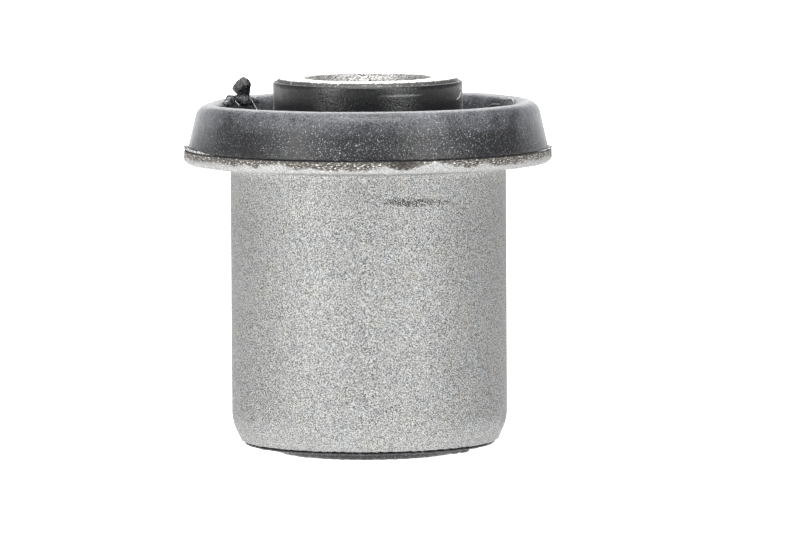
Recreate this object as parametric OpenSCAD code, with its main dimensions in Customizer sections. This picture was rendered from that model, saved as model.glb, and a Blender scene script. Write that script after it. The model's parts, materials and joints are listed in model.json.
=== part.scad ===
// Bonded rubber and metal bushing for a control arm, standing on its foot with the flange up.
// The origin is the centre of the inner sleeve's lower end face, and +Z runs along the bolt.

/* [Inner sleeve] */
// Outside diameter of the inner sleeve
inner_od = 24; // [20:0.5:26]
// Diameter of the bolt bore
bore_d = 14.5; // [10:0.1:18]
// Radial width of the countersink at each bore mouth
mouth_w = 1.15; // [0.3:0.05:2]
// Axial depth of the countersink at each bore mouth
mouth_h = 0.9; // [0.3:0.1:3]
// Chamfer round the outside of each end face
end_chamfer = 0.5; // [0.2:0.1:0.9]
// Height of the inner sleeve's end above the crest of the rubber collar
nose_h = 3.15; // [1.5:0.05:12]
// Depth of the inner sleeve's end below the outer sleeve's edge
foot_h = 1.6; // [1.2:0.1:6]

/* [Outer sleeve] */
// Outside diameter that is pressed into the arm's eye
sleeve_od = 36; // [34:0.1:42]
// Thickness of the drawn sheet
sheet_t = 1.8; // [1.3:0.1:2.4]
// Length from the flange's top face to the lower edge
sleeve_len = 38.1; // [20:0.1:60]
// Width of the flange outside the sleeve
flange_w = 6; // [4:0.5:9]
// Radius of the bend under the flange
bend_r = 1.2; // [0.8:0.1:2.5]
// Round on the lower edge of the flange's rim
rim_r = 0.8; // [0.3:0.1:1]
// Radius of the curl that turns the lower end in
curl_r = 6; // [4:0.5:9]
// Angle that the lower end is turned in, in degrees
curl_angle = 25; // [10:1:30]
// Straight length of the turned-in end
curl_len = 1.3; // [0.5:0.1:2.5]
// Round on the lower edge
edge_r = 0.3; // [0.1:0.05:0.4]

/* [Rubber collar] */
// Height of the collar's crest above the flange
collar_h = 6.15; // [4.5:0.05:10]
// Bare margin of the flange outside the collar
collar_margin = 0.5; // [0.2:0.1:1.5]
// Draft of the collar's outer wall, in degrees
collar_draft = 12; // [0:1:20]
// Radius of the rounded crest
crown_r = 1.9; // [1:0.1:2.2]
// Depth of the trough below the crest
trough_depth = 4.8; // [4:0.1:6]
// Draft of the trough's outer wall, in degrees
trough_draft = 20; // [10:1:30]
// Thickness of the rubber skin on the inner sleeve
skin_t = 0.35; // [0.2:0.05:0.8]

/* [Rubber lower end] */
// Height of the lip below the outer sleeve's edge
lip_h = 0.45; // [0.2:0.05:0.6]
// Bare metal between the outer sleeve's rounded edge and the lip
lip_bare = 0.15; // [0.05:0.05:0.4]
// Thickness of the lip inside the outer sleeve
lip_w = 0.7; // [0.4:0.1:1.2]
// Depth of the relief groove above the lip's face
relief_h = 3; // [2:0.25:10]
// Height of the hem that tapers the skin at the foot
hem_h = 1; // [0.7:0.1:1.1]

/* [Moulding gates] */
// Bearing of the gate scar, in degrees from +X
scar_bearing = 24; // [0:1:60]
// Bearing of the torn gate stub, in degrees from +X
stub_bearing = 150; // [120:1:180]
// Length of each gate along the crest, in degrees
gate_arc = 26; // [10:1:40]
// Width of each gate over the crest
gate_w = 1.2; // [0.6:0.1:1.6]
// Thickness of rubber left at each gate
gate_t = 0.35; // [0.2:0.05:0.6]
// Angle of the gates down the inner side of the crest
gate_lean = 42; // [20:1:60]
// Height of the torn stub above its gate
stub_h = 3.1; // [2:0.1:3.3]
// Thickness of the stub along its gate
stub_t = 1.2; // [0.8:0.1:1.8]
// Thickness of the ridge that the stub stands on
root_t = 1.7; // [1.2:0.1:2]
// Height of the stub's neck above its gate
neck_h = 0.9; // [0.5:0.1:1.2]
// Thickness of the stub's neck across its gate
neck_t = 0.9; // [0.6:0.1:1.2]
// Lean of the stub towards the axis
stub_lean = 0.55; // [0.3:0.05:0.8]
// Reach of the torn tip out from the middle of the gate
tip_reach = 0.9; // [0.5:0.1:1.4]
// Height of the torn tip above the gate
tip_h = 1.65; // [1.4:0.05:2]
// Reach of the stub's shoulder in from the middle of the gate
shoulder_in = 1.15; // [0.9:0.05:1.5]
// Height of the stub's shoulder above the gate
shoulder_h = 2.6; // [2.1:0.1:3]

/* [Hidden] */
$fn = 96;
ARC_STEPS = 12;

// Radii
bore_r = bore_d / 2;
inner_r = inner_od / 2;
skin_r = inner_r + skin_t;
sleeve_r = sleeve_od / 2;
wall_r = sleeve_r - sheet_t;
flange_r = sleeve_r + flange_w;
collar_r = flange_r - collar_margin;

// Heights
edge_z = foot_h;
lip_z = edge_z - lip_h;
flange_z = edge_z + sleeve_len;
seat_z = flange_z - sheet_t;
crest_z = flange_z + collar_h;
floor_z = crest_z - trough_depth;
inner_len = crest_z + nose_h;

// Centre of the bend, shared by the metal under the flange and the rubber over it
bend_c = [sleeve_r + bend_r, seat_z - bend_r];
bend_out_r = bend_r + sheet_t;

// Turned-in lower end: directions across and up the sheet, and the centres of its round and curl
across = [cos(curl_angle), -sin(curl_angle)];
along = [sin(curl_angle), cos(curl_angle)];
edge_x = sleeve_r - curl_r + (curl_r - edge_r) * across.x - curl_len * along.x;
edge_c = [edge_x, edge_z + edge_r];
curl_c = edge_c + (edge_r - curl_r) * across + curl_len * along;
edge_in = edge_c - edge_r * along - (sheet_t - edge_r) * across;
lip_out = edge_c - edge_r * along - lip_bare * across;

// Centre of the crest's round, which touches the drafted outer wall and the crest's height
crown_z = crest_z - crown_r;
crown_x = collar_r + ((flange_z - crown_z) * sin(collar_draft) - crown_r) / cos(collar_draft);
crown_c = [crown_x, crown_z];

// The trough's outer wall touches the crest's round, and its floor touches the wall and the skin
trough_n = [-cos(trough_draft), sin(trough_draft)];
wall_top = crown_c + crown_r * trough_n;
floor_r = ([skin_r - wall_top.x, floor_z - wall_top.y] * trough_n)
    / (1 + cos(trough_draft) - sin(trough_draft));
floor_c = [skin_r + floor_r, floor_z + floor_r];

// Relief groove between the lip and the skin
lip_in_r = edge_in.x - lip_w;
relief_r = (lip_in_r - skin_r) / 2;
relief_c = [skin_r + relief_r, lip_z + relief_h - relief_r];

// Middle of a gate on the inner side of the crest
gate_mid = 90 + gate_lean;
gate_c = crown_c + crown_r * [cos(gate_mid), sin(gate_mid)];
gate_half = gate_w / (2 * crown_r) * 180 / PI;

// Points along an arc, from one direction to another in degrees
function arc(centre, r, from, to) = [
    for (i = [0:ARC_STEPS])
        let (a = from + (to - from) * i / ARC_STEPS)
            centre + r * [cos(a), sin(a)]
];

// Turned tube with a countersunk bolt bore
module inner_sleeve() {
    color([0.80, 0.80, 0.79])
        rotate_extrude()
            polygon([
                [bore_r + mouth_w, 0],
                [inner_r - end_chamfer, 0],
                [inner_r, end_chamfer],
                [inner_r, inner_len - end_chamfer],
                [inner_r - end_chamfer, inner_len],
                [bore_r + mouth_w, inner_len],
                [bore_r, inner_len - mouth_h],
                [bore_r, mouth_h]
            ]);
}

// Drawn shell: a straight sleeve, turned in at the lower end and out at the top into a flange
module outer_sleeve() {
    rim_c = [flange_r - rim_r, seat_z + rim_r];
    color([0.71, 0.71, 0.71])
        rotate_extrude()
            polygon(concat(
                [edge_in],
                arc(edge_c, edge_r, -90 - curl_angle, -curl_angle),
                arc(curl_c, curl_r, -curl_angle, 0),
                arc(bend_c, bend_r, 180, 90),
                arc(rim_c, rim_r, -90, 0),
                [[flange_r, flange_z]],
                arc(bend_c, bend_out_r, 90, 180),
                arc(curl_c, curl_r - sheet_t, 0, -curl_angle)
            ));
}

// Turned body of the moulding: hem, skin, relief groove, lip, fill, collar and trough
module rubber_body() {
    rotate_extrude()
        polygon(concat(
            [[inner_r, end_chamfer], [inner_r + skin_t / 2, end_chamfer], [skin_r, hem_h]],
            arc(relief_c, relief_r, 180, 0),
            [[lip_in_r, lip_z], [lip_out.x, lip_z], lip_out, edge_in],
            arc(curl_c, curl_r - sheet_t, -curl_angle, 0),
            arc(bend_c, bend_out_r, 180, 90),
            [[collar_r, flange_z]],
            arc(crown_c, crown_r, collar_draft, 180 - trough_draft),
            arc(floor_c, floor_r, -trough_draft, -180),
            [[skin_r, inner_len - end_chamfer], [inner_r, inner_len - end_chamfer]]
        ));
}

// Raised land that a moulding gate leaves along the inner side of the crest
module gate(bearing) {
    rotate(bearing - gate_arc / 2)
        rotate_extrude(angle = gate_arc)
            polygon(concat(
                [crown_c],
                arc(crown_c, crown_r + gate_t, gate_mid - gate_half, gate_mid + gate_half)
            ));
}

// Ridge of rubber along the middle of the stub's gate
module stub_root() {
    rotate(-gate_arc / 4)
        rotate_extrude(angle = gate_arc / 2)
            translate(gate_c)
                circle(root_t / 2);
}

// Torn outline of the sprue: a neck, a shoulder towards the axis and a torn face down to the tip
module stub_outline() {
    translate(gate_c)
        polygon([
            [root_t / 6, -root_t / 6],
            [neck_t / 2 - stub_lean, neck_h],
            [tip_reach, tip_h],
            [-stub_lean, stub_h],
            [-shoulder_in, shoulder_h],
            [-neck_t / 2 - stub_lean, neck_h],
            [-root_t / 2.5, -root_t / 6]
        ]);
}

// Torn sprue that stands on a ridge along its gate
module gate_stub() {
    rotate(stub_bearing) {
        stub_root();
        rotate([90, 0, 0])
            linear_extrude(stub_t, center = true)
                stub_outline();
    }
}

// Moulded rubber bonded between the sleeves
module rubber_element() {
    color([0.27, 0.28, 0.30]) {
        rubber_body();
        gate(scar_bearing);
        gate(stub_bearing);
        gate_stub();
    }
}

outer_sleeve();
rubber_element();
inner_sleeve();
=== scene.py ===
"""Looks of a control arm bushing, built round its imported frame.

Laid out as an add-on and run as a script. Every size is in metres, in the frame's own axes:
the origin is the centre of the foot and +Z runs along the bolt, towards the flanged end.
Half sections are lists of points, each one a radius and a height.
"""

import json
import math

import bmesh
import bpy
from mathutils import Matrix, Vector, noise


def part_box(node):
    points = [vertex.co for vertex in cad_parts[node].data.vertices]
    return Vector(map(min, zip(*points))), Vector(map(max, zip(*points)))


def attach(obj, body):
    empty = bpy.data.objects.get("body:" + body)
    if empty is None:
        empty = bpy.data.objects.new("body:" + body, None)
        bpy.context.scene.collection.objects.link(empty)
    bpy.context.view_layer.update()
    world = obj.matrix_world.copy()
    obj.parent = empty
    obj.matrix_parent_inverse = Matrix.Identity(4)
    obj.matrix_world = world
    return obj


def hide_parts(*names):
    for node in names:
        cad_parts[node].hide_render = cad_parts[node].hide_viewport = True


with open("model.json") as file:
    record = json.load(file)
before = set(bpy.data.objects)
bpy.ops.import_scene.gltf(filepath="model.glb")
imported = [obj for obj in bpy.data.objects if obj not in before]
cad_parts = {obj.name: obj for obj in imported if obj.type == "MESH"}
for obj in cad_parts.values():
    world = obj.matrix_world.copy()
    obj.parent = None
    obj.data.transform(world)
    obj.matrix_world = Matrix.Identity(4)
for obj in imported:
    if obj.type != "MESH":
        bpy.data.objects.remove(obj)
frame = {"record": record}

bl_info = {
    "name": "Control arm bushing",
    "version": (1, 0, 0),
    "blender": (4, 5, 0),
    "location": "3D View > Sidebar > Bushing",
    "description": "Blasted sleeve, moulded rubber and bored tube of a suspension bushing",
    "category": "Object",
}

MM = 0.001
FULL_TURN = 2 * math.pi
BODY = "root"
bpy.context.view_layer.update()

SLEEVE_LOW, SLEEVE_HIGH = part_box("outer_sleeve")
_, RUBBER_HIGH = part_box("rubber_element")
TUBE_LOW, TUBE_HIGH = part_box("inner_sleeve")
MOUNTS = {mount["name"]: mount for mount in frame["record"]["mounts"]}


def mount_radius(name):
    """Radius of one of the record's round mounts."""
    return MOUNTS[name]["dims"]["r_mm"] * MM


def mount_height(name):
    """Height of one of the record's mounts above the foot."""
    return MOUNTS[name]["pos_m"][2]


def linear(code):
    """Linear red, green and blue of an sRGB hex colour, and an alpha of 1."""
    parts = [int(code[i:i + 2], 16) / 255 for i in (1, 3, 5)]
    return [c / 12.92 if c <= 0.04045 else ((c + 0.055) / 1.055) ** 2.4 for c in parts] + [1]


def length(name, description, default):
    """A size in metres for a property group."""
    return bpy.props.FloatProperty(
        name=name, description=description, default=default, unit="LENGTH", precision=5
    )


def angle(name, description, degrees):
    """An angle for a property group, given in degrees."""
    return bpy.props.FloatProperty(
        name=name, description=description, default=math.radians(degrees), subtype="ANGLE"
    )


def tint(name, description, code):
    """A colour for a property group, given as an sRGB hex value."""
    return bpy.props.FloatVectorProperty(
        name=name, description=description, default=linear(code), size=4, subtype="COLOR",
        min=0, max=1,
    )


class SleeveSettings(bpy.types.PropertyGroup):
    """Sizes and colours of the drawn outer sleeve."""

    radius: length("Radius", "Outside of the straight wall", mount_radius("sleeve_press_seat"))
    flange_radius: length("Flange radius", "Outside of the flange", SLEEVE_HIGH.x)
    foot: length("Lower edge", "Height of the lower edge", SLEEVE_LOW.z)
    top: length("Flange top", "Height of the flange's top face", SLEEVE_HIGH.z)
    seat: length("Flange seat", "Height of the flange's underside", mount_height("flange_seat"))
    bend: length("Bend", "Radius of the bend under the flange", 1.2 * MM)
    rim: length("Rim round", "Round on the lower edge of the rim", 0.8 * MM)
    curl: length("Curl", "Radius of the curl at the lower end", 6.0 * MM)
    curl_turn: angle("Curl angle", "How far the lower end is turned in", 25)
    curl_run: length("Curl run", "Straight length of the turned-in end", 1.3 * MM)
    edge_round: length("Edge round", "Round on the lower edge", 0.3 * MM)
    light: tint("Peaks", "Colour of the blasted peaks", "#c1c1c0")
    dark: tint("Pits", "Colour of the blasted pits", "#565657")
    residue: tint("Residue", "Colour of the bonding agent left on the rim", "#27231f")


class RubberSettings(bpy.types.PropertyGroup):
    """Sizes and colours of the moulded rubber."""

    collar_radius: length("Collar radius", "Foot of the collar on the flange", RUBBER_HIGH.x)
    crest: length("Crest", "Height of the collar's crest above the flange", 6.15 * MM)
    crown: length("Crown", "Radius of the rounded crest", 1.9 * MM)
    draft: angle("Draft", "Lean of the collar's outer wall", 12)
    trough: length("Trough", "Depth of the trough below the crest", 4.8 * MM)
    trough_draft: angle("Trough draft", "Lean of the trough's outer wall", 20)
    skin: length("Skin", "Rubber on the inner sleeve", 0.35 * MM)
    hem: length("Hem", "Height where the skin starts to taper to the foot", 1.0 * MM)
    lip: length("Lip", "Lip below the outer sleeve's edge", 0.45 * MM)
    lip_bare: length("Lip margin", "Bare metal between the edge's round and the lip", 0.15 * MM)
    lip_wall: length("Lip wall", "Lip inside the outer sleeve", 0.7 * MM)
    relief: length("Relief", "Depth of the groove inside the lip", 3.0 * MM)
    stub_bearing: angle("Stub bearing", "Torn gate stub, from +X", 150)
    scar_bearing: angle("Scar bearing", "Gate scar, from +X", 24)
    gate_span: angle("Gate span", "Length of each gate along the crest", 26)
    gate_lean: angle("Gate lean", "Gates, down the inner side of the crest", 42)
    gate_rise: length("Gate rise", "Thickness of rubber left at each gate", 0.2 * MM)
    body: tint("Rubber", "Colour of the clean rubber", "#0b0c0e")
    bloom: tint("Bloom", "Colour of the wax bloom and fine dust", "#5e6066")
    dust: tint("Dust", "Colour of the dust specks", "#c1c3c8")


class TubeSettings(bpy.types.PropertyGroup):
    """Sizes and colours of the inner sleeve."""

    radius: length("Radius", "Outside of the tube", TUBE_HIGH.x)
    bore: length("Bore", "Radius of the bolt bore", mount_radius("bolt_bore"))
    mouth: length("Mouth", "Radial width of the countersink", 1.15 * MM)
    mouth_depth: length("Mouth depth", "Axial depth of the countersink", 0.9 * MM)
    chamfer: length("Chamfer", "Chamfer round each end face", 0.5 * MM)
    steel: tint("Steel", "Colour of the turned steel", "#dcdbd8")
    grime: tint("Grime", "Colour of the dirt in the turning marks", "#3d3c3a")


class StageSettings(bpy.types.PropertyGroup):
    """Camera, light and floor."""

    view_width: length("View width", "Width that the picture spans at the bushing", 104.54 * MM)
    distance: length("Distance", "Camera to bushing", 1.1)
    elevation: angle("Elevation", "Camera above the horizon", 5.02)
    roll: angle("Roll", "Camera turned clockwise about its own view", 0.333)
    aim_x: length("Aim across", "Middle of the picture, right of the axis", 4.08 * MM)
    aim_z: length("Aim height", "Middle of the picture, above the foot", 24.17 * MM)
    floor: tint("Floor", "Colour of the floor", "#f2f2f2")


def arc(centre, radius, start, end, steps=10):
    """Points of a half section along an arc, from one angle in degrees to another."""
    points = []
    for step in range(steps + 1):
        turn = math.radians(start + (end - start) * step / steps)
        points.append((centre[0] + radius * math.cos(turn), centre[1] + radius * math.sin(turn)))
    return points


def spin_section(shown, hidden, spacing, steps):
    """Spins a closed half section once round the bolt's axis.

    The shown stretch is cut to the spacing, and the hidden one keeps only its corners.
    """
    bm = bmesh.new()
    verts = [bm.verts.new((r, 0, z)) for r, z in shown + hidden]
    edges = [bm.edges.new(pair) for pair in zip(verts, verts[1:] + verts[:1])]
    for edge in edges[:len(shown) - 1]:
        cuts = int(edge.calc_length() / spacing)
        if cuts:
            bmesh.ops.subdivide_edges(bm, edges=[edge], cuts=cuts)
    bmesh.ops.spin(
        bm, geom=bm.verts[:] + bm.edges[:], cent=(0, 0, 0), axis=(0, 0, 1),
        angle=FULL_TURN, steps=steps, use_merge=True,
    )
    bmesh.ops.remove_doubles(bm, verts=bm.verts, dist=0.001 * MM)
    bmesh.ops.recalc_face_normals(bm, faces=bm.faces)
    bm.normal_update()
    return bm


def loft(bm, places, segments):
    """Draws a ring of radius 1 through a list of placements and closes both ends."""
    made = bmesh.ops.create_circle(bm, segments=segments, radius=1, cap_ends=True, matrix=places[0])
    cap = list({face for vert in made["verts"] for face in vert.link_faces})
    for step, (previous, place) in enumerate(zip(places, places[1:])):
        grown = bmesh.ops.extrude_face_region(bm, geom=cap)["geom"]
        if step:
            bmesh.ops.delete(bm, geom=cap, context="FACES_ONLY")
        cap = [part for part in grown if isinstance(part, bmesh.types.BMFace)]
        ring = [part for part in grown if isinstance(part, bmesh.types.BMVert)]
        bmesh.ops.transform(bm, matrix=place @ previous.inverted(), verts=ring)


def roll(point, size, seed):
    """Smooth noise from -1 to 1 whose bumps are about one size across."""
    return noise.noise(point / size + Vector((seed, seed * 1.7, seed * 2.3)))


def fade(value, start, end):
    """0 before the start, 1 past the end and a smooth rise between."""
    t = min(max((value - start) / (end - start), 0), 1)
    return t * t * (3 - 2 * t)


def near(point, spot, reach):
    """1 at the spot, falling smoothly to 0 at the reach."""
    return 1 - fade((point - spot).length, 0, reach)


def on_round(radius, bearing, z):
    """Point at a radius, a bearing in radians from +X and a height."""
    return Vector((radius * math.cos(bearing), radius * math.sin(bearing), z))


def swing(point, bearing):
    """Angle of a point about the bolt from a bearing, from 0 to half a turn."""
    return abs((math.atan2(point.y, point.x) - bearing + math.pi) % FULL_TURN - math.pi)


def finish_piece(name, bm, material, sharp=40):
    """Makes the mesh an object that rides on the bushing, smooth but for its sharp edges."""
    mesh = bpy.data.meshes.new(name)
    bm.to_mesh(mesh)
    bm.free()
    mesh.materials.append(material)
    mesh.shade_smooth()
    mesh.set_sharp_from_angle(angle=math.radians(sharp))
    obj = bpy.data.objects.new(name, mesh)
    bpy.context.scene.collection.objects.link(obj)
    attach(obj, BODY)
    return obj


def node(tree, kind, inputs, output=0, **settings):
    """Adds a shader node with its settings, sets or links its inputs and returns one output."""
    made = tree.nodes.new("ShaderNode" + kind)
    for key, value in settings.items():
        setattr(made, key, value)
    for socket, value in inputs.items():
        if isinstance(value, bpy.types.NodeSocket):
            tree.links.new(value, made.inputs[socket])
        else:
            made.inputs[socket].default_value = value
    return made.outputs[output] if made.outputs else made


def new_material(name):
    """A material with an empty node tree, and the piece's own coordinates in it."""
    material = bpy.data.materials.new(name)
    material.use_nodes = True
    tree = material.node_tree
    tree.nodes.clear()
    return material, tree, node(tree, "TexCoord", {}, "Object")


def round_place(tree, place):
    """Distance of a point from the bolt's axis, and its height."""
    height = node(tree, "SeparateXYZ", {"Vector": place}, "Z")
    flat = node(tree, "VectorMath", {0: place, 1: (1, 1, 0)}, operation="MULTIPLY")
    return node(tree, "VectorMath", {0: flat}, "Value", operation="LENGTH"), height


def unrolled(tree, place, radius, stretch):
    """Way round the bolt from the front at a radius, and the height times a stretch, as a vector."""
    x, y, z = (node(tree, "SeparateXYZ", {"Vector": place}, axis) for axis in "XYZ")
    front = node(tree, "Math", {0: y, 1: -1.0}, operation="MULTIPLY")
    bearing = node(tree, "Math", {0: x, 1: front}, operation="ARCTAN2")
    way = node(tree, "Math", {0: bearing, 1: radius}, operation="MULTIPLY")
    rise = node(tree, "Math", {0: z, 1: stretch}, operation="MULTIPLY")
    return node(tree, "CombineXYZ", {"X": way, "Y": rise})


def blot(tree, place, centre, size, turn=(0, 0, 0)):
    """A soft blot, 1 at its centre and 0 at its size, both given in millimetres."""
    moved = node(
        tree, "Mapping",
        {"Vector": place, "Location": Vector(centre) * MM, "Rotation": turn, "Scale": Vector(size) * MM},
        vector_type="TEXTURE",
    )
    return node(tree, "TexGradient", {"Vector": moved}, "Fac", gradient_type="SPHERICAL")


def blasted_steel(sizes):
    """Mild steel, drawn, grit-blasted and phosphated.

    Dull silver with a worm-like grain of dark pits, and faint cool and warm patches of phosphate.
    The pits are too fine to show in the render, so they are drawn about a pixel across. Bonding
    agent that ran past the rubber stays brown and crumbly on the upper half of the rim. Light and
    shade are painted in as well: brighter metal at the curl, along the bend and under the flange,
    and a dark line where the collar meets the flange.
    """
    pit_size, patch_size, crumb_size, run_size = 0.11 * MM, 2 * MM, 0.45 * MM, 4 * MM
    edge, seat, foot = sizes.flange_radius, sizes.seat, sizes.foot
    material, tree, place = new_material("blasted_phosphated_steel")
    out, height = round_place(tree, place)

    # Pits, and the cast of the phosphate
    grit = node(
        tree, "TexNoise", {"Vector": place, "Scale": 1 / pit_size, "Detail": 0.0, "Distortion": 0.7}, "Fac"
    )
    grit = node(tree, "MapRange", {"Value": grit, "From Min": 0.36, "From Max": 0.64})
    patch = node(
        tree, "TexNoise", {"Vector": place, "Scale": 1 / patch_size, "Detail": 4.0, "Roughness": 0.8}, "Fac"
    )
    patch = node(tree, "MapRange", {"Value": patch, "From Min": 0.3, "From Max": 0.7})
    colour = node(tree, "Mix", {0: grit, 6: sizes.dark, 7: sizes.light}, 2, data_type="RGBA")
    warm, cool = linear("#fffdf7"), linear("#f8fcff")
    cast = node(tree, "Mix", {0: patch, 6: warm, 7: cool}, 2, data_type="RGBA")
    colour = node(tree, "Mix", {0: 1.0, 6: colour, 7: cast}, 2, data_type="RGBA", blend_type="MULTIPLY")

    # Painted light: brighter at the lower curl for the lit floor it faces, a painted highlight along the
    # bend, and a faint lift under the flange against its shadow
    curl = node(
        tree, "MapRange",
        {"Value": height, "From Min": foot + 0.5 * MM, "From Max": foot + 4.5 * MM,
         "To Min": 0.15, "To Max": 0.0},
    )
    bend = node(
        tree, "MapRange",
        {"Value": out, "From Min": sizes.radius + 0.1 * MM, "From Max": sizes.radius + 2 * MM, "To Max": 0.3},
    )
    painted_light_under_flange = node(
        tree, "MapRange",
        {"Value": height, "From Min": seat - 7 * MM, "From Max": seat - 2 * MM, "To Max": 0.03},
    )
    painted_curl_and_bend_light = node(tree, "Math", {0: curl, 1: bend}, operation="MAXIMUM")
    colour = node(tree, "Mix", {0: painted_curl_and_bend_light, 6: colour, 7: sizes.light}, 2, data_type="RGBA")
    colour = node(tree, "Mix", {0: painted_light_under_flange, 6: colour, 7: (1, 1, 1, 1)}, 2, data_type="RGBA", blend_type="ADD")

    # Dark scuff under the flange with its fainter tail, in the pits first
    pits = node(tree, "MapRange", {"Value": grit, "From Min": 1.1, "From Max": 0.3})
    scuff = blot(tree, place, (5.3, -17.1, 33.95), (4.2, 4, 0.75), (0, 0.04, 0))
    tail = blot(tree, place, (9.4, -15.4, 33.8), (2.6, 3, 0.5), (0, 0.1, 0))
    marks = node(tree, "Math", {0: tail, 1: 0.5, 2: scuff}, operation="MULTIPLY_ADD")
    marks = node(tree, "Math", {0: marks, 1: pits}, operation="MULTIPLY")
    marks = node(tree, "MapRange", {"Value": marks, "From Min": 0.02, "From Max": 0.34, "To Max": 0.85})

    # Smooth rub in the dent near the foot
    rub = blot(tree, place, (17.5, -4.2, 4.6), (1.4, 2.6, 1.3))
    rub = node(tree, "MapRange", {"Value": rub, "From Min": 0.25, "From Max": 0.7, "To Max": 0.7})

    # Bonding agent on the rim, with an uneven lower edge and worn spots
    strip = unrolled(tree, place, edge, 2.4)
    crumbs = node(
        tree, "TexNoise", {"Vector": strip, "Scale": 1 / crumb_size, "Detail": 3.0, "Roughness": 0.75}, "Fac"
    )
    runs = node(
        tree, "TexNoise", {"Vector": place, "Scale": 1 / run_size, "Detail": 4.0, "Roughness": 0.65}, "Fac"
    )
    pool = blot(tree, place, (4.4, -23.6, 39.5), (2.2, 3, 1.1))
    gap = blot(tree, place, (8.3, -22.6, 39.2), (3.4, 4, 3))
    level = height
    for pattern, lift in ((runs, 2.6), (pool, 1.2), (gap, -0.9), (crumbs, 1.1)):
        level = node(tree, "Math", {0: pattern, 1: lift * MM, 2: level}, operation="MULTIPLY_ADD")
    upper = node(
        tree, "MapRange", {"Value": level, "From Min": seat + 2.62 * MM, "From Max": seat + 2.86 * MM}
    )
    rim = node(tree, "MapRange", {"Value": out, "From Min": edge - 0.6 * MM, "From Max": edge - 0.3 * MM})
    stain = node(tree, "Math", {0: rim, 1: upper}, operation="MULTIPLY")
    clots = node(tree, "Math", {0: pool, 1: -0.14, 2: crumbs}, operation="MULTIPLY_ADD")
    thin = node(tree, "MapRange", {"Value": clots, "From Min": 0.38, "From Max": 0.54})
    flecks = node(tree, "MapRange", {"Value": clots, "From Min": 0.56, "From Max": 0.64})
    brown = node(tree, "Mix", {0: thin, 6: sizes.residue, 7: linear("#625e58")}, 2, data_type="RGBA")
    brown = node(tree, "Mix", {0: flecks, 6: brown, 7: linear("#eeece8")}, 2, data_type="RGBA")

    # Painted shade: a dark line where the collar meets the flange, for the shadow in the gap between them
    painted_crease_shade = node(
        tree, "MapRange",
        {"Value": height, "From Min": sizes.top - 0.11 * MM, "From Max": sizes.top - 0.05 * MM},
    )
    painted_crease_shade = node(tree, "Math", {0: painted_crease_shade, 1: rim}, operation="MULTIPLY")
    for share, over in (
        (marks, linear("#3c3b39")), (rub, linear("#8b9094")), (stain, brown), (painted_crease_shade, linear("#100f0e")),
    ):
        colour = node(tree, "Mix", {0: share, 6: colour, 7: over}, 2, data_type="RGBA")

    # Bare metal shines; stained metal and the painted crease shade are dull
    stain = node(tree, "Math", {0: stain, 1: painted_crease_shade}, operation="MAXIMUM")
    bare = node(tree, "MapRange", {"Value": stain, "To Min": 1.0, "To Max": 0.1})
    rough = node(tree, "MapRange", {"Value": grit, "To Min": 0.56, "To Max": 0.46})
    bump = node(tree, "Bump", {"Height": grit, "Distance": 0.03 * MM, "Strength": 0.6})
    bump = node(tree, "Bump", {"Height": crumbs, "Distance": 0.12 * MM, "Strength": stain, "Normal": bump})
    shader = node(
        tree, "BsdfPrincipled",
        {"Base Color": colour, "Metallic": bare, "Roughness": rough, "Normal": bump,
         "Specular Tint": linear("#d3d3d3")},
    )
    node(tree, "OutputMaterial", {"Surface": shader})
    return material


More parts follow.
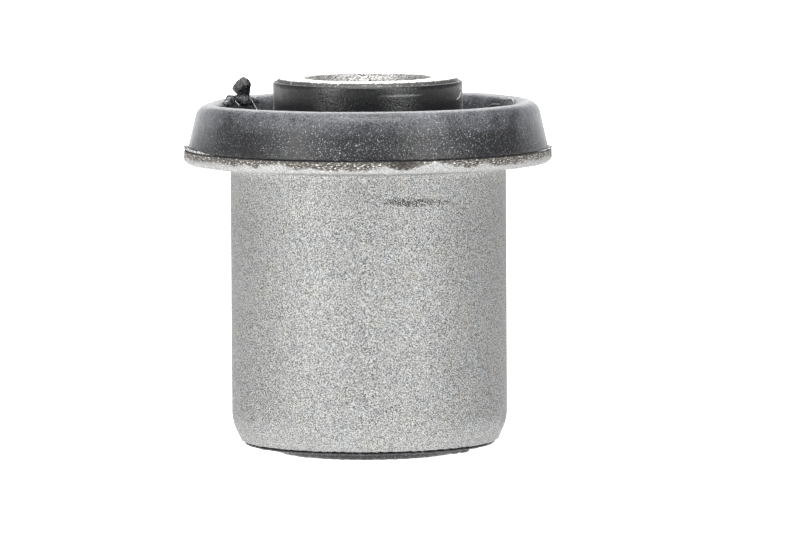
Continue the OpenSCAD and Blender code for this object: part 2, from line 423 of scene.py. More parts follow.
def turned_steel(sizes):
    """Cold-drawn steel tube, faced on a lathe.

    Bright rings about 0.2 mm apart with grime between them, dirtiest on the outer chamfer, where
    mould release and rubber dust stay. The bore is stained in a grain of the same size.
    """
    ring_gap, blot_size, drift_size, stain_size = 0.2 * MM, 0.5 * MM, 3 * MM, 0.2 * MM
    edge_dirt = 0.45
    material, tree, place = new_material("turned_steel")
    out, height = round_place(tree, place)

    # Rings of the tool, which wander a little
    drift = node(tree, "TexNoise", {"Vector": place, "Scale": 1 / drift_size, "Detail": 2.0}, "Fac")
    across = node(tree, "Math", {0: out, 1: height}, operation="ADD")
    across = node(tree, "Math", {0: drift, 1: 0.15 * MM, 2: across}, operation="MULTIPLY_ADD")
    across = node(tree, "Math", {0: across, 1: ring_gap}, operation="DIVIDE")
    rings = node(tree, "TexNoise", {"W": across, "Scale": 1.0, "Detail": 2.0}, "Fac", noise_dimensions="1D")

    # Grime in blots on the chamfers, and as a grain inside the bore
    blots = node(
        tree, "TexNoise", {"Vector": place, "Scale": 1 / blot_size, "Detail": 5.0, "Roughness": 0.7}, "Fac"
    )
    edge = node(
        tree, "MapRange",
        {"Value": out, "From Min": sizes.radius - sizes.chamfer - 0.1 * MM,
         "From Max": sizes.radius - 0.7 * sizes.chamfer, "To Max": edge_dirt},
    )
    dirt = node(tree, "Math", {0: blots, 1: edge}, operation="ADD")
    dirt = node(tree, "MapRange", {"Value": dirt, "From Min": 0.7, "From Max": 0.9, "To Max": 0.97})
    inner = sizes.bore + sizes.mouth
    inside = node(tree, "MapRange", {"Value": out, "From Min": inner, "From Max": inner - 0.1 * MM})
    grain = node(tree, "TexNoise", {"Vector": place, "Scale": 1 / stain_size, "Detail": 1.0}, "Fac")
    grain = node(tree, "MapRange", {"Value": grain, "From Min": 0.6, "From Max": 0.35, "To Min": 0.35})
    grain = node(tree, "Math", {0: grain, 1: inside}, operation="MULTIPLY")
    dirt = node(tree, "Math", {0: dirt, 1: grain}, operation="MAXIMUM")
    colour = node(tree, "Mix", {0: dirt, 6: sizes.steel, 7: sizes.grime}, 2, data_type="RGBA")

    rough = node(
        tree, "MapRange", {"Value": blots, "From Min": 0.3, "From Max": 0.7, "To Min": 0.34, "To Max": 0.55}
    )
    bare = node(tree, "MapRange", {"Value": edge, "From Max": edge_dirt, "To Min": 1.0, "To Max": 0.4})
    bump = node(tree, "Bump", {"Height": rings, "Distance": 0.02 * MM, "Strength": 0.7})
    bump = node(tree, "Bump", {"Height": blots, "Distance": 0.06 * MM, "Strength": 0.7, "Normal": bump})
    shader = node(
        tree, "BsdfPrincipled", {"Base Color": colour, "Metallic": bare, "Roughness": rough, "Normal": bump}
    )
    node(tree, "OutputMaterial", {"Surface": shader})
    return material


def moulded_rubber(sizes):
    """Natural rubber filled with carbon black, moulded.

    A charcoal skin with a satin shine, clouded by wax bloom and peppered with pale dust. The dust
    is too fine to show in the render, so its grain and its specks are drawn about a pixel across.
    Light is painted over it as well: the bloom is painted brighter up the wall to the crest and
    darker towards the flange and in the trough, pale dust streaks on the two sides of the collar are
    brightened as painted sheen, and a thin pale streak on the front of the skin is a painted highlight.
    """
    cloud_size, grain_size, line_gap, comb_gap = 5 * MM, 0.24 * MM, 0.3 * MM, 0.35 * MM
    pepper_size, speck_gap = 0.14 * MM, 0.36 * MM
    tube, top, foot_z = TUBE_HIGH.x, SLEEVE_HIGH.z, SLEEVE_LOW.z
    material, tree, place = new_material("moulded_rubber")
    out, height = round_place(tree, place)

    # Where dust lies: all but the skin on the inner sleeve and the trough beside it
    dusty = node(
        tree, "MapRange",
        {"Value": out, "From Min": tube + 0.4 * MM, "From Max": tube + 3 * MM, "To Min": 0.15},
    )
    foot = node(
        tree, "MapRange", {"Value": height, "From Min": foot_z + 0.3 * MM, "From Max": foot_z - 0.2 * MM}
    )
    dusty = node(tree, "Math", {0: dusty, 1: foot}, operation="MAXIMUM")

    # Bloom in grainy clouds, which on the skin follow the mould's turning marks
    cloud = node(
        tree, "TexNoise", {"Vector": place, "Scale": 1 / cloud_size, "Detail": 6.0, "Roughness": 0.62}, "Fac"
    )
    fine = node(tree, "TexNoise", {"Vector": place, "Scale": 1 / grain_size, "Detail": 1.0}, "Fac")
    haze = node(tree, "Math", {0: fine, 1: 1.1, 2: cloud}, operation="MULTIPLY_ADD")
    haze = node(tree, "MapRange", {"Value": haze, "From Min": 0.8, "From Max": 1.3})
    lines = node(
        tree, "TexNoise", {"W": height, "Scale": 1 / line_gap, "Detail": 1.0}, "Fac", noise_dimensions="1D"
    )
    lines = node(tree, "MapRange", {"Value": lines, "From Min": 0.38, "From Max": 0.64, "To Max": 0.18})
    lines = node(tree, "Math", {0: haze, 1: lines}, operation="MULTIPLY")
    haze = node(tree, "Mix", {0: dusty, 2: lines, 3: haze})

    # Painted light: the bloom is painted brighter up the wall to the crest, for light from above, and darker
    # towards the flange and in the trough, for shade; it is almost gone on the stub above
    crest = node(tree, "MapRange", {"Value": height, "From Min": top + 2.9 * MM, "From Max": top + 5.4 * MM})
    above = node(
        tree, "MapRange",
        {"Value": height, "From Min": top + 6.1 * MM, "From Max": top + 6.5 * MM,
         "To Min": 1.0, "To Max": 0.1},
    )
    for share in (above, dusty):
        crest = node(tree, "Math", {0: crest, 1: share}, operation="MULTIPLY")
    wall = node(tree, "MapRange", {"Value": out, "From Min": 19 * MM, "From Max": 20.5 * MM, "To Max": 0.02})
    shown = node(tree, "Math", {0: crest, 1: wall}, operation="MAXIMUM")
    # At the foot the dust is real, and the little bloom added here is painted light that brightens the foot's
    # rubber
    shown = node(tree, "Math", {0: foot, 1: 0.1, 2: shown}, operation="MULTIPLY_ADD")
    haze = node(tree, "Math", {0: haze, 1: shown}, operation="MULTIPLY")
    colour = node(tree, "Mix", {0: haze, 6: sizes.body, 7: sizes.bloom}, 2, data_type="RGBA")

    # Pepper of dust, thicker in the clouds
    pepper = node(tree, "TexNoise", {"Vector": place, "Scale": 1 / pepper_size, "Detail": 0.0}, "Fac")
    pepper = node(tree, "MapRange", {"Value": pepper, "From Min": 0.63, "From Max": 0.8, "To Max": 0.45})
    drift = node(
        tree, "MapRange", {"Value": cloud, "From Min": 0.36, "From Max": 0.64, "To Min": 0.4, "To Max": 1.35}
    )
    for share in (dusty, drift):
        pepper = node(tree, "Math", {0: pepper, 1: share}, operation="MULTIPLY")

    # Pale streaks on the two sides of the collar: the streaks are drawn as dust, but their brightness, which
    # rises towards the crest, is painted sheen for the grazing light there
    aside = node(tree, "Math", {0: node(tree, "SeparateXYZ", {"Vector": place}, "X")}, operation="ABSOLUTE")
    aside = node(tree, "MapRange", {"Value": aside, "From Min": 19 * MM, "From Max": 23 * MM, "To Max": 0.55})
    strip = unrolled(tree, place, 22 * MM, 0.15)
    streaks_and_painted_sheen = node(tree, "TexNoise", {"Vector": strip, "Scale": 1 / comb_gap, "Detail": 2.0}, "Fac")
    streaks_and_painted_sheen = node(tree, "MapRange", {"Value": streaks_and_painted_sheen, "From Min": 0.2, "From Max": 0.75})
    painted_rise_to_crest = node(
        tree, "MapRange", {"Value": height, "From Min": top, "From Max": top + 5 * MM, "To Min": 0.15}
    )
    for share in (aside, painted_rise_to_crest):
        streaks_and_painted_sheen = node(tree, "Math", {0: streaks_and_painted_sheen, 1: share}, operation="MULTIPLY")

    # Single specks, with a cluster of them on the front of the skin, and a painted highlight: a thin pale
    # streak across the front of the skin
    cells = {"Vector": place, "Scale": 1 / speck_gap}
    apart = node(tree, "TexVoronoi", cells, "Distance")
    pick = node(tree, "SeparateXYZ", {"Vector": node(tree, "TexVoronoi", cells, "Color")}, "X")
    size = node(tree, "MapRange", {"Value": pick, "From Min": 0.3, "From Max": 1.0, "To Max": 0.17})
    speck = node(tree, "Math", {0: size, 1: apart}, operation="GREATER_THAN")
    cluster = blot(tree, place, (4.4, -11.5, 46.2), (2.6, 3, 0.7))
    spread = node(tree, "Math", {0: dusty, 1: cluster}, operation="ADD")
    for share in (0.45, spread):
        speck = node(tree, "Math", {0: speck, 1: share}, operation="MULTIPLY")
    streak = blot(tree, place, (4.5, -11.5, 47.3), (3.4, 3, 0.2))
    streak = node(tree, "MapRange", {"Value": streak, "From Max": 0.5, "To Max": 0.5})
    streak = node(tree, "Math", {0: streak, 1: fine}, operation="MULTIPLY")
    speck = node(tree, "Math", {0: speck, 1: streak}, operation="MAXIMUM")
    for share in (pepper, streaks_and_painted_sheen, speck):
        colour = node(tree, "Mix", {0: share, 6: colour, 7: sizes.dust}, 2, data_type="RGBA")

    # Satin shine, a little glossier on the skin
    rough = node(
        tree, "MapRange", {"Value": cloud, "From Min": 0.3, "From Max": 0.7, "To Min": 0.31, "To Max": 0.42}
    )
    smooth = node(tree, "MapRange", {"Value": dusty, "From Min": 0.2, "From Max": 0.6, "To Min": 0.85})
    rough = node(tree, "Math", {0: rough, 1: smooth}, operation="MULTIPLY")
    bump = node(tree, "Bump", {"Height": fine, "Distance": 0.07 * MM, "Strength": 0.8})
    shader = node(
        tree, "BsdfPrincipled",
        {"Base Color": colour, "Roughness": rough, "IOR": 1.55, "Normal": bump,
         "Sheen Weight": 0.3, "Sheen Roughness": 0.22},
    )
    node(tree, "OutputMaterial", {"Surface": shader})
    return material


def stretched_rubber():
    """Natural rubber, drawn out thin as flash and torn.

    Grey and stress-whitened in streaks on the rim, and pale all over in the threads above.
    """
    streak_size, threads_z = 0.3 * MM, SLEEVE_HIGH.z + 2 * MM
    material, tree, place = new_material("stretched_rubber")
    streak = node(
        tree, "TexNoise", {"Vector": place, "Scale": 1 / streak_size, "Detail": 3.0, "Roughness": 0.6}, "Fac"
    )
    white = node(tree, "MapRange", {"Value": streak, "From Min": 0.4, "From Max": 0.65, "To Max": 0.6})
    height = node(tree, "SeparateXYZ", {"Vector": place}, "Z")
    drawn = node(
        tree, "MapRange",
        {"Value": height, "From Min": threads_z, "From Max": threads_z + 1 * MM, "To Max": 0.6},
    )
    white = node(tree, "Math", {0: white, 1: drawn}, operation="MAXIMUM")
    grey, pale = linear("#5a5b5d"), linear("#f2f2f2")
    colour = node(tree, "Mix", {0: white, 6: grey, 7: pale}, 2, data_type="RGBA")
    bump = node(tree, "Bump", {"Height": streak, "Distance": 0.04 * MM, "Strength": 0.6})
    shader = node(
        tree, "BsdfPrincipled", {"Base Color": colour, "Roughness": 0.5, "IOR": 1.52, "Normal": bump}
    )
    node(tree, "OutputMaterial", {"Surface": shader})
    return material


def lit_acrylic(sizes):
    """Opal acrylic of a light table, lit from below.

    A grey sheet whose own glow makes it white, so that shadows on it stay faint. It glows a little
    more on the left, and less well in front of the bushing.
    """
    side_reach = 60 * MM
    material, tree, place = new_material("lit_white_acrylic")
    soft = node(tree, "TexNoise", {"Vector": place, "Scale": 3.0, "Detail": 1.0}, "Fac")
    rough = node(tree, "MapRange", {"Value": soft, "To Min": 0.85, "To Max": 0.95})
    side = node(tree, "SeparateXYZ", {"Vector": place}, "X")
    glow = node(
        tree, "MapRange",
        {"Value": side, "From Min": -side_reach, "From Max": side_reach, "To Min": 1.85, "To Max": 1.45},
    )
    front = node(tree, "SeparateXYZ", {"Vector": place}, "Y")
    front = node(tree, "MapRange", {"Value": front, "From Min": -0.7, "From Max": -0.35, "To Min": 0.4})
    glow = node(tree, "Math", {0: glow, 1: front}, operation="MULTIPLY")
    shader = node(
        tree, "BsdfPrincipled",
        {"Base Color": linear("#868686"), "Roughness": rough, "Specular IOR Level": 0.1,
         "Emission Color": sizes.floor, "Emission Strength": glow},
    )
    node(tree, "OutputMaterial", {"Surface": shader})
    return material


def lower_end(sleeve):
    """Layout of the sleeve's turned-in lower end in the half section.

    Gives the centres of its edge round and of its curl, the end face's outer point, the way across
    the sheet and the end face's inner corner.
    """
    across = Vector((math.cos(sleeve.curl_turn), -math.sin(sleeve.curl_turn)))
    along = Vector((math.sin(sleeve.curl_turn), math.cos(sleeve.curl_turn)))
    spare = sleeve.curl - sleeve.edge_round
    x = sleeve.radius - sleeve.curl + spare * across.x - sleeve.curl_run * along.x
    edge = Vector((x, sleeve.foot + sleeve.edge_round))
    curl = edge - spare * across + sleeve.curl_run * along
    face = edge - sleeve.edge_round * along
    inner = face - (sleeve.top - sleeve.seat - sleeve.edge_round) * across
    return edge, curl, face, across, inner


class BUSHING_OT_outer_sleeve(bpy.types.Operator):
    """Spin the drawn sleeve with its flange, bend and turned-in end"""

    bl_idname = "bushing.outer_sleeve"
    bl_label = "Outer sleeve"

    def execute(self, context):
        sizes = context.scene.bushing_sleeve
        sheet = sizes.top - sizes.seat
        edge, curl, _, _, inner = lower_end(sizes)
        turn = math.degrees(sizes.curl_turn)
        bend = (sizes.radius + sizes.bend, sizes.seat - sizes.bend)
        burr = 0.2 * MM
        shown = (
            [tuple(inner)]
            + arc(edge, sizes.edge_round, -90 - turn, -turn, 5)
            + arc(curl, sizes.curl, -turn, 0, 8)
            + arc(bend, sizes.bend, 180, 90, 8)
            + arc((sizes.flange_radius - sizes.rim, sizes.seat + sizes.rim), sizes.rim, -90, 0, 8)
            + arc((sizes.flange_radius - burr, sizes.top - burr), burr, 0, 90, 4)
        )
        hidden = arc(bend, sizes.bend + sheet, 90, 180, 8) + arc(curl, sizes.curl - sheet, 0, -turn, 8)
        bm = spin_section(shown, hidden, spacing=0.8 * MM, steps=480)
        dent = on_round(sizes.radius, math.radians(-13.5), sizes.foot + 3.0 * MM)
        for vert in bm.verts:
            point = vert.co.copy()
            out = math.hypot(point.x, point.y)
            if out < sizes.radius - 0.5 * sheet and point.z > sizes.foot + 2.5 * MM:
                continue
            low = 1 - fade(point.z, sizes.foot + 0.2 * MM, sizes.foot + 1.4 * MM)
            rim = fade(out, sizes.flange_radius - 1.0 * MM, sizes.flange_radius - 0.3 * MM)
            depth = 0.02 * MM * roll(point, 5 * MM, 3)
            depth += low * 0.1 * MM * roll(point, 0.6 * MM, 11)
            depth += rim * 0.1 * MM * roll(point, 0.9 * MM, 17)
            depth -= 0.25 * MM * near(point, dent, 1.8 * MM)
            vert.co += vert.normal * depth
        sleeve = finish_piece("outer_sleeve_shell", bm, blasted_steel(sizes))
        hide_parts("outer_sleeve")
        return {"FINISHED"}


class BUSHING_OT_inner_sleeve(bpy.types.Operator):
    """Spin the bored tube with its countersunk mouths"""

    bl_idname = "bushing.inner_sleeve"
    bl_label = "Inner sleeve"

    def execute(self, context):
        sizes = context.scene.bushing_tube
        low, high = TUBE_LOW.z, TUBE_HIGH.z
        mouth = sizes.bore + sizes.mouth
        face = sizes.radius - sizes.chamfer
        shown = [
            (sizes.radius, high - sizes.chamfer),
            (face, high),
            (mouth, high),
            (sizes.bore, high - sizes.mouth_depth),
            (sizes.bore, low + sizes.mouth_depth),
            (mouth, low),
            (face, low),
            (sizes.radius, low + sizes.chamfer),
        ]
        bm = spin_section(shown, [], spacing=0.8 * MM, steps=256)
        corners = [edge for edge in bm.edges if edge.calc_face_angle(0) > math.radians(20)]
        bmesh.ops.bevel(
            bm, geom=corners, offset=0.08 * MM, affect="EDGES", segments=2, profile=0.5, material=-1,
        )
        for vert in bm.verts:
            end = max(fade(vert.co.z, high - 1.2 * MM, high), 1 - fade(vert.co.z, low, low + 1.2 * MM))
            vert.co += vert.normal * end * 0.02 * MM * (roll(vert.co, 0.9 * MM, 29) - 1)
        tube = finish_piece("inner_sleeve_tube", bm, turned_steel(sizes), sharp=25)
        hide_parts("inner_sleeve")
        return {"FINISHED"}


def crown_of(rubber, sleeve):
    """Centre of the collar's rounded crest in the half section."""
    z = sleeve.top + rubber.crest - rubber.crown
    lean = (sleeve.top - z) * math.sin(rubber.draft) - rubber.crown
    return rubber.collar_radius + lean / math.cos(rubber.draft), z


def gate_of(rubber, sleeve):
    """Middle of a moulding gate in the half section, on the inner side of the crest."""
    x, z = crown_of(rubber, sleeve)
    turn = math.pi / 2 + rubber.gate_lean
    return x + rubber.crown * math.cos(turn), z + rubber.crown * math.sin(turn)


class BUSHING_OT_rubber(bpy.types.Operator):
    """Spin the moulding: lip, collar, trough and skin"""

    bl_idname = "bushing.rubber"
    bl_label = "Rubber element"

    def execute(self, context):
        scene = context.scene
        rubber, sleeve, tube = scene.bushing_rubber, scene.bushing_sleeve, scene.bushing_tube
        sheet = sleeve.top - sleeve.seat
        _, curl, face, across, inner = lower_end(sleeve)
        turn = math.degrees(sleeve.curl_turn)
        skin = tube.radius + rubber.skin
        skin_low, skin_high = TUBE_LOW.z + tube.chamfer, TUBE_HIGH.z - tube.chamfer
        crown = crown_of(rubber, sleeve)
        lean = math.degrees(rubber.draft)
        fall = math.degrees(rubber.trough_draft)
        cos_fall, sin_fall = math.cos(rubber.trough_draft), math.sin(rubber.trough_draft)
        floor_z = sleeve.top + rubber.crest - rubber.trough
        brow = (crown[0] - rubber.crown * cos_fall, crown[1] + rubber.crown * sin_fall)
        floor = ((brow[0] - skin) * cos_fall + (floor_z - brow[1]) * sin_fall) / (1 + cos_fall - sin_fall)
        lip_z = sleeve.foot - rubber.lip
        lip_out = face - rubber.lip_bare * across
        lip_in = inner.x - rubber.lip_wall
        groove = (lip_in - skin) / 2
        groove_c = (skin + groove, lip_z + rubber.relief - groove)
        tuck = 0.18 * MM
        upper = (
            arc((rubber.collar_radius - tuck, sleeve.top + tuck), tuck, -90, lean, 4)
            + arc(crown, rubber.crown, lean, 180 - fall, 18)
            + arc((skin + floor, floor_z + floor), floor, -fall, -180, 16)
            + [(skin, skin_high - 0.25 * MM), (skin - 0.1 * MM, skin_high - 0.05 * MM)]
            + [(tube.radius, skin_high)]
        )
        lower = (
            [
                (tube.radius, skin_low),
                (tube.radius - 0.38 * MM, TUBE_LOW.z + 0.12 * MM),
                (tube.radius - 0.15 * MM, TUBE_LOW.z + 0.06 * MM),
                (tube.radius + 0.15 * MM, TUBE_LOW.z + 0.3 * MM),
                (skin, rubber.hem),
            ]
            + arc(groove_c, groove, 180, 0, 12)
            + [(lip_in, lip_z + 0.1 * MM), (lip_in + 0.1 * MM, lip_z)]
            + arc((lip_out.x - 0.1 * MM, lip_z + 0.15 * MM), 0.15 * MM, -90, 90, 6)
            + [(lip_out.x - 0.3 * MM, lip_out.y - 0.1 * MM), tuple(lip_out - 0.2 * MM * across)]
        )
        bond = (
            [tuple(inner)]
            + arc(curl, sleeve.curl - sheet, -turn, 0, 8)
            + arc((sleeve.radius + sleeve.bend, sleeve.seat - sleeve.bend), sleeve.bend + sheet, 180, 90, 8)
        )
        bm = spin_section(upper + lower, bond, spacing=0.5 * MM, steps=420)
        slump = on_round(crown[0], math.radians(178), crown[1])
        for vert in bm.verts:
            point = vert.co.copy()
            out = math.hypot(point.x, point.y)
            if abs(out - tube.radius) < 0.05 * MM:
                continue
            free = fade(point.z, sleeve.top + 0.05 * MM, sleeve.top + 1.2 * MM)
            hem = 1 - fade(point.z, sleeve.foot - 0.3 * MM, sleeve.foot)
            depth = free * 0.05 * MM * roll(point, 6 * MM, 41)
            depth += free * 0.02 * MM * roll(point, 1.2 * MM, 43)
            depth += hem * 0.06 * MM * roll(point, 0.8 * MM, 47)
            lean_here = math.degrees(math.atan2(out - crown[0], point.z - crown[1]))
            band = 1 - fade(abs(lean_here + math.degrees(rubber.gate_lean)), 15, 21)
            aside = min(swing(point, rubber.stub_bearing), swing(point, rubber.scar_bearing))
            land = band * (1 - fade(aside, rubber.gate_span / 2 - 0.02, rubber.gate_span / 2 + 0.01))
            if point.z > crown[1] - 1 * MM and out > skin + 2 * MM:
                depth += rubber.gate_rise * land * (0.5 + 0.5 * roll(point, 0.7 * MM, 61))
            vert.co += vert.normal * depth
            rise = fade(point.z, sleeve.top + 1.0 * MM, crown[1]) * fade(out, skin + 1.0 * MM, crown[0])
            vert.co.z -= 0.32 * MM * rise * near(point, slump, 16 * MM)
        moulding = finish_piece("rubber_moulding", bm, moulded_rubber(rubber), sharp=60)
        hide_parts("rubber_element")
        return {"FINISHED"}


def add_lumps(bm, bearing, radius, z, lumps):
    """Adds stretched balls near a point at a bearing, a radius and a height.

    Each has degrees aside, a way out and up, and half its depth, width and height in millimetres.
    """
    for aside, out, up, *half in lumps:
        turn = bearing + math.radians(aside)
        place = Matrix.Translation(on_round(radius + out * MM, turn, z + up * MM))
        stretch = Matrix.Diagonal([size * MM for size in half] + [1])
        place = place @ Matrix.Rotation(turn, 4, "Z") @ stretch
        bmesh.ops.create_icosphere(bm, subdivisions=3, radius=1, matrix=place)


def fuse(obj, voxel, context):
    """Melts an object's overlapping shells into one skin and roughens it as torn rubber is."""
    melt = obj.modifiers.new("Melt", "REMESH")
    melt.mode = "VOXEL"
    melt.voxel_size = voxel
    skin = bpy.data.meshes.new_from_object(obj.evaluated_get(context.evaluated_depsgraph_get()))
    obj.modifiers.clear()
    bm = bmesh.new()
    bm.from_mesh(skin)
    bpy.data.meshes.remove(skin)
    bmesh.ops.smooth_vert(
        bm, verts=bm.verts, factor=0.5, use_axis_x=True, use_axis_y=True, use_axis_z=True
    )
    bm.normal_update()
    for vert in bm.verts:
        point = vert.co.copy()
        depth = 0.06 * MM * roll(point, 0.7 * MM, 53) + 0.03 * MM * roll(point, 0.3 * MM, 59)
        vert.co += vert.normal * depth
    bm.to_mesh(obj.data)
    bm.free()
    obj.data.shade_smooth()


class BUSHING_OT_torn_lumps(bpy.types.Operator):
    """Model the torn sprue on its gate, and the lumps at the foot"""

    bl_idname = "bushing.torn_lumps"
    bl_label = "Torn lumps"

    def execute(self, context):
        scene = context.scene
        rubber, sleeve, tube = scene.bushing_rubber, scene.bushing_sleeve, scene.bushing_tube
        charcoal = bpy.data.materials["moulded_rubber"]
        gate_r, gate_z = gate_of(rubber, sleeve)
        bearing = rubber.stub_bearing
        base = Matrix.Translation(on_round(gate_r, bearing, gate_z)) @ Matrix.Rotation(bearing, 4, "Z")
        voxel = 0.08 * MM
        # Sprue, ring by ring: way out, way up and radius in mm, and tilt in degrees
        rings = (
            (-0.35, -0.40, 1.15, 0),
            (-0.48, 0.30, 0.95, 0),
            (-0.55, 0.79, 0.80, 12),
            (-0.58, 1.12, 0.95, 25),
            (-0.54, 1.52, 1.20, 34),
            (-0.22, 1.94, 1.30, 42),
            (0.36, 2.30, 1.20, 47),
        )
        places = []
        for out, up, radius, tilt in rings:
            places.append(
                base
                @ Matrix.Translation((out * MM, 0, up * MM))
                @ Matrix.Rotation(math.radians(tilt), 4, "Y")
                @ Matrix.Diagonal((radius * MM, radius * 0.72 * MM, MM, 1))
            )
        bm = bmesh.new()
        loft(bm, places, segments=24)
        lumps = (
            (-9.5, 0.1, -0.3, 0.60, 0.9, 0.50),
            (-6.0, -0.1, -0.15, 0.70, 0.9, 0.60),
            (-2.5, 0.0, -0.1, 0.85, 1.0, 0.75),
            (1.5, 0.3, 0.05, 0.85, 1.0, 0.70),
            (4.5, 0.7, 0.35, 0.55, 0.6, 0.55),
            (6.0, 0.2, 0.1, 0.70, 0.9, 0.70),
            (9.5, 0.1, -0.1, 0.65, 0.8, 0.75),
            (13.0, 0.0, -0.2, 0.60, 0.9, 0.50),
        )
        add_lumps(bm, bearing, gate_r, gate_z, lumps)
        fuse(finish_piece("torn_gate_stub", bm, charcoal), voxel, context)

        bm = bmesh.new()
        lumps = (
            (-21, 0.9, 0.64, 1.0, 0.8, 0.54),
            (-28, 0.5, 0.64, 0.7, 1.2, 0.52),
            (-13, 0.6, 0.9, 0.6, 0.9, 0.45),
        )
        add_lumps(bm, 0, tube.radius, TUBE_LOW.z, lumps)
        fuse(finish_piece("foot_lump", bm, charcoal), voxel, context)
        return {"FINISHED"}


def torn_film(bm, profile, middle, span, seed):
    """Adds a thin film of rubber, torn along its free edge.

    The profile runs from the film's root to its free edge in the half section. It is spun over a
    span in degrees, about a middle bearing, and drawn back by noise and towards both ends.
    """
    start = math.radians(middle - span / 2)
    verts = [bm.verts.new(on_round(r * MM, start, z * MM)) for r, z in profile]
    edges = [bm.edges.new(pair) for pair in zip(verts, verts[1:])]
    before = set(bm.verts) - set(verts)
    bmesh.ops.spin(
        bm, geom=verts + edges, cent=(0, 0, 0), axis=(0, 0, 1),
        angle=math.radians(span), steps=int(span * 2),
    )
    root = Vector((profile[0][0] * MM, profile[0][1] * MM))
    for vert in set(bm.verts) - before:
        bearing = math.atan2(vert.co.y, vert.co.x)
        rim = on_round(root.x, bearing, root.y)
        end = swing(vert.co, math.radians(middle)) / math.radians(span / 2)
        ragged = 0.75 + 0.45 * roll(rim, 0.9 * MM, seed) + 0.2 * roll(rim, 0.3 * MM, seed)
        keep = (1 - fade(end, 0.6, 1.0)) * ragged
        vert.co = rim.lerp(vert.co, max(keep, 0.08))


class BUSHING_OT_flash(bpy.types.Operator):
    """Model the thin torn flash: films on the rim, and threads by the stub, the scar and the skin"""

    bl_idname = "bushing.flash"
    bl_label = "Torn flash"

    def execute(self, context):
        bm = bmesh.new()
        for profile, middle, span, seed in (
            (((23.35, 39.73), (23.75, 39.8), (23.98, 39.95), (24.08, 40.22)), 190, 44, 71),
            (((23.35, 39.73), (23.75, 39.78), (23.98, 39.83), (24.05, 39.95)), -8, 24, 73),
        ):
            torn_film(bm, profile, middle, span, seed)
        bmesh.ops.solidify(bm, geom=bm.faces[:], thickness=0.09 * MM)
        thread = Matrix.Scale(0.055 * MM, 4)
        for points in (
            ((-15.8, 11.0, 46.1), (-15.5, 10.8, 45.6), (-15.2, 10.5, 45.1), (-14.9, 10.2, 44.6),
             (-14.6, 9.9, 44.1)),
            ((-18.0, 7.9, 46.2), (-17.7, 7.6, 45.8), (-17.3, 7.3, 45.3), (-16.9, 7.0, 44.9)),
            ((11.9, -3.5, 47.7), (12.08, -3.2, 47.1), (11.95, -3.6, 46.6), (11.6, -4.5, 46.3)),
            ((15.74, 10.17, 44.3), (16.26, 9.52, 44.7), (16.8, 8.6, 44.76), (17.3, 7.6, 44.83)),
            ((17.84, 7.16, 45.49), (18.39, 6.06, 45.61), (18.88, 4.67, 45.67), (19.08, 2.48, 45.47)),
        ):
            path = [Vector(point) * MM for point in points]
            ways = [(b - a).normalized() for a, b in zip(path, path[1:])]
            ways.append(ways[-1])
            places = [
                Matrix.Translation(point) @ way.to_track_quat("Z", "X").to_matrix().to_4x4() @ thread
                for point, way in zip(path, ways)
            ]
            loft(bm, places, segments=8)
        bmesh.ops.recalc_face_normals(bm, faces=bm.faces)
        finish_piece("torn_flash", bm, stretched_rubber())
        return {"FINISHED"}


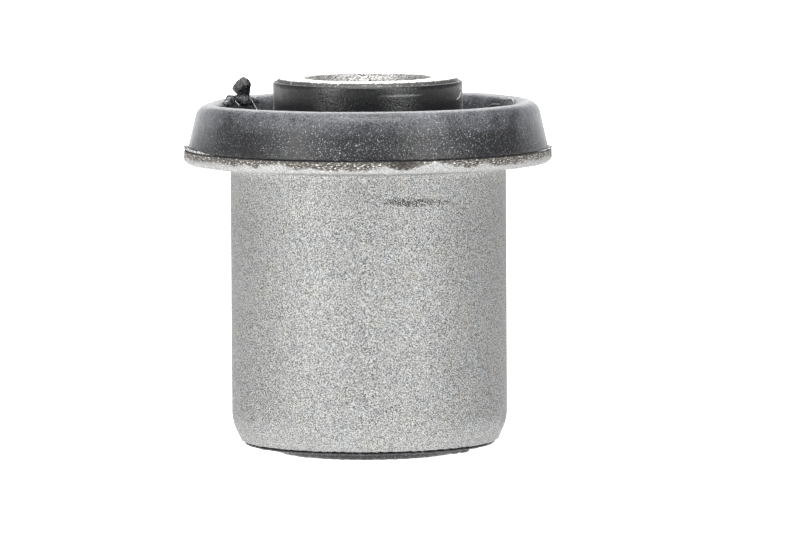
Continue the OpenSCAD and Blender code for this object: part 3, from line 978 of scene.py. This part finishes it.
class BUSHING_OT_stage(bpy.types.Operator):
    """Set the camera, the floor and the soft light"""

    bl_idname = "bushing.stage"
    bl_label = "Stage"

    def execute(self, context):
        scene = context.scene
        sizes = scene.bushing_stage
        bm = bmesh.new()
        bmesh.ops.create_grid(bm, x_segments=8, y_segments=8, size=6)
        mesh = bpy.data.meshes.new("floor")
        bm.to_mesh(mesh)
        bm.free()
        mesh.materials.append(lit_acrylic(sizes))
        floor = bpy.data.objects.new("floor", mesh)
        scene.collection.objects.link(floor)

        world = bpy.data.worlds.new("white_surround")
        world.use_nodes = True
        tree = world.node_tree
        tree.nodes.clear()
        way = node(tree, "TexCoord", {}, "Generated")
        side = node(tree, "SeparateXYZ", {"Vector": way}, "X")
        aside = node(tree, "Math", {0: side}, operation="ABSOLUTE")
        aside = node(tree, "MapRange", {"Value": aside, "From Min": 0.2, "From Max": 0.9, "To Min": 0.35})
        side = node(tree, "MapRange", {"Value": side, "From Min": -1, "To Min": 0.42, "To Max": 0.28})
        side = node(tree, "Math", {0: side, 1: aside}, operation="MULTIPLY")
        rear = node(tree, "SeparateXYZ", {"Vector": way}, "Y")
        rear = node(tree, "MapRange", {"Value": rear, "From Min": 0.85, "From Max": 1.0, "To Max": 1.6})
        glow = node(tree, "Math", {0: side, 1: rear}, operation="ADD")
        back = node(tree, "Background", {"Color": (1, 1, 1, 1), "Strength": glow})
        node(tree, "OutputWorld", {"Surface": back})
        scene.world = world

        sun = bpy.data.lights.new("overhead", "SUN")
        sun.energy = 2.4
        sun.angle = math.radians(70)
        scene.collection.objects.link(bpy.data.objects.new("overhead", sun))
        aim = Vector((0, 0, sizes.aim_z))
        # Bearings are in degrees from the front
        for name, bearing, elevation, away, size, power in (
            ("left_softbox", -46, 18, 0.9, (0.30, 0.6), 3.1),
            ("right_softbox", 40, 18, 0.9, (0.26, 0.6), 3.2),
            ("rear_softbox", 180, 38, 1.0, (0.5, 0.5), 3.6),
            ("top_softbox", 0, 57, 0.9, (0.7, 0.6), 5.3),
        ):
            light = bpy.data.lights.new(name, "AREA")
            light.shape = "RECTANGLE"
            light.size, light.size_y = size
            light.energy = power
            lamp = bpy.data.objects.new(name, light)
            turn, rise = math.radians(bearing), math.radians(elevation)
            flat = math.cos(rise)
            to_lamp = Vector((math.sin(turn) * flat, -math.cos(turn) * flat, math.sin(rise)))
            lamp.location = aim + away * to_lamp
            lamp.rotation_euler = to_lamp.to_track_quat("Z", "Y").to_euler()
            scene.collection.objects.link(lamp)

        camera = bpy.data.objects.new("camera", bpy.data.cameras.new("camera"))
        camera.data.sensor_width = 36
        camera.data.lens = camera.data.sensor_width * sizes.distance / sizes.view_width
        camera.data.clip_end = 50
        from_aim = Vector((0, -math.cos(sizes.elevation), math.sin(sizes.elevation)))
        camera.location = Vector((sizes.aim_x, 0, sizes.aim_z)) + sizes.distance * from_aim
        tilt = Matrix.Rotation(math.pi / 2 - sizes.elevation, 3, "X")
        camera.rotation_euler = (tilt @ Matrix.Rotation(-sizes.roll, 3, "Z")).to_euler()
        scene.collection.objects.link(camera)
        scene.camera = camera
        scene.view_settings.view_transform = "Standard"
        return {"FINISHED"}


class BUSHING_PT_panel(bpy.types.Panel):
    """Sidebar list of the bushing's pieces"""

    bl_idname = "BUSHING_PT_panel"
    bl_label = "Bushing"
    bl_space_type = "VIEW_3D"
    bl_region_type = "UI"
    bl_category = "Bushing"

    def draw(self, context):
        for operator in OPERATORS:
            self.layout.operator(operator.bl_idname)


SETTINGS = {
    "bushing_sleeve": SleeveSettings,
    "bushing_rubber": RubberSettings,
    "bushing_tube": TubeSettings,
    "bushing_stage": StageSettings,
}
OPERATORS = (
    BUSHING_OT_outer_sleeve,
    BUSHING_OT_inner_sleeve,
    BUSHING_OT_rubber,
    BUSHING_OT_torn_lumps,
    BUSHING_OT_flash,
    BUSHING_OT_stage,
)


def register():
    """Registers the classes and hangs the settings on the scene."""
    for group in (*SETTINGS.values(), *OPERATORS, BUSHING_PT_panel):
        bpy.utils.register_class(group)
    for name, group in SETTINGS.items():
        setattr(bpy.types.Scene, name, bpy.props.PointerProperty(type=group))


def unregister():
    """Takes the settings and the classes away again."""
    for name in SETTINGS:
        delattr(bpy.types.Scene, name)
    for group in (BUSHING_PT_panel, *OPERATORS, *SETTINGS.values()):
        bpy.utils.unregister_class(group)


def main():
    register()
    for operator in OPERATORS:
        group, name = operator.bl_idname.split(".")
        getattr(getattr(bpy.ops, group), name)()


if __name__ == "__main__":
    main()
